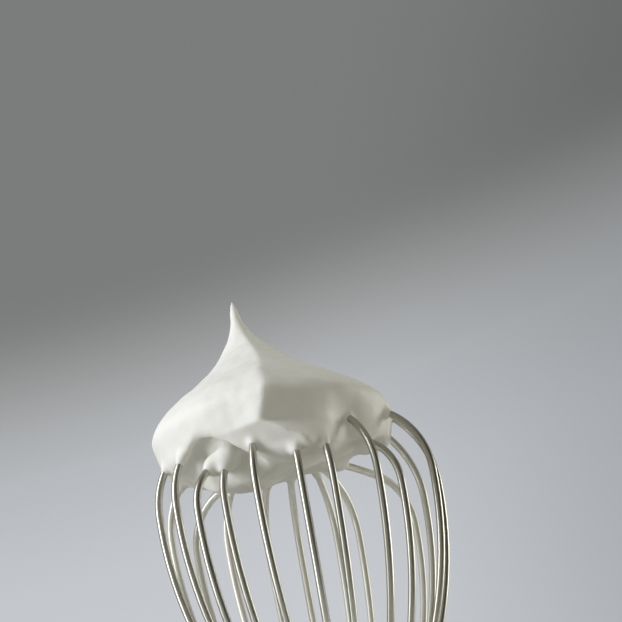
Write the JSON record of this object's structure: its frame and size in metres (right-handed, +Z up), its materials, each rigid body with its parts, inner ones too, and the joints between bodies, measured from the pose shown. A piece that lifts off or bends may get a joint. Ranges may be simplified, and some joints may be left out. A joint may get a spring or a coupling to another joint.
{
  "type": "balloon whisk",
  "caption": "Balloon whisk of steel wire loops in a tubular handle with a swinging hanging loop, shown with a peak of stiff whipped cream on its tip.",
  "frame": {"origin": "centre of the butt end of the handle tube, where the end cap's flange meets it", "axes": "+Z up the whisk's axis from the butt to the tip of the balloon, +X in the plane of the hanging loop"},
  "size_m": [0.0793, 0.0728, 0.3118],
  "materials": {
    "balloon_wire": "bright drawn wire",
    "handle_steel": "satin, brushed round",
    "ferrule_steel": "polished",
    "cap_steel": "turned",
    "hanger_wire": "bright drawn wire",
    "inner_steel": "stamped",
    "resin": "cast, slightly glossy",
    "plug_nylon": "turned nylon",
    "seal_rubber": "moulded",
    "cream": "stiff whipped cream, moist"
  },
  "bodies": {
    "whisk": {"wire_loop_01": "balloon_wire", "wire_loop_02": "balloon_wire", "wire_loop_03": "balloon_wire", "wire_loop_04": "balloon_wire", "wire_loop_05": "balloon_wire", "wire_loop_06": "balloon_wire", "wire_loop_07": "balloon_wire", "wire_loop_08": "balloon_wire", "wire_loop_09": "balloon_wire", "wire_loop_10": "balloon_wire", "handle_tube": "handle_steel", "mouth_ferrule": "ferrule_steel", "potting_resin": "resin", "spreader_plug": "plug_nylon", "locator_disc": "inner_steel", "disc_rivet": "inner_steel", "end_cap": "cap_steel", "cap_seal": "seal_rubber", "whipped_cream": "cream"},
    "hanger": {"hanging_loop": "hanger_wire"}
  },
  "joints": [
    {"name": "hanger_swing", "type": "hinge", "parent": "whisk", "child": "hanger", "pos_m": [0, 0, -0.0055], "axis": [1, 0, 0], "range_deg": [-95, 95]}
  ]
}
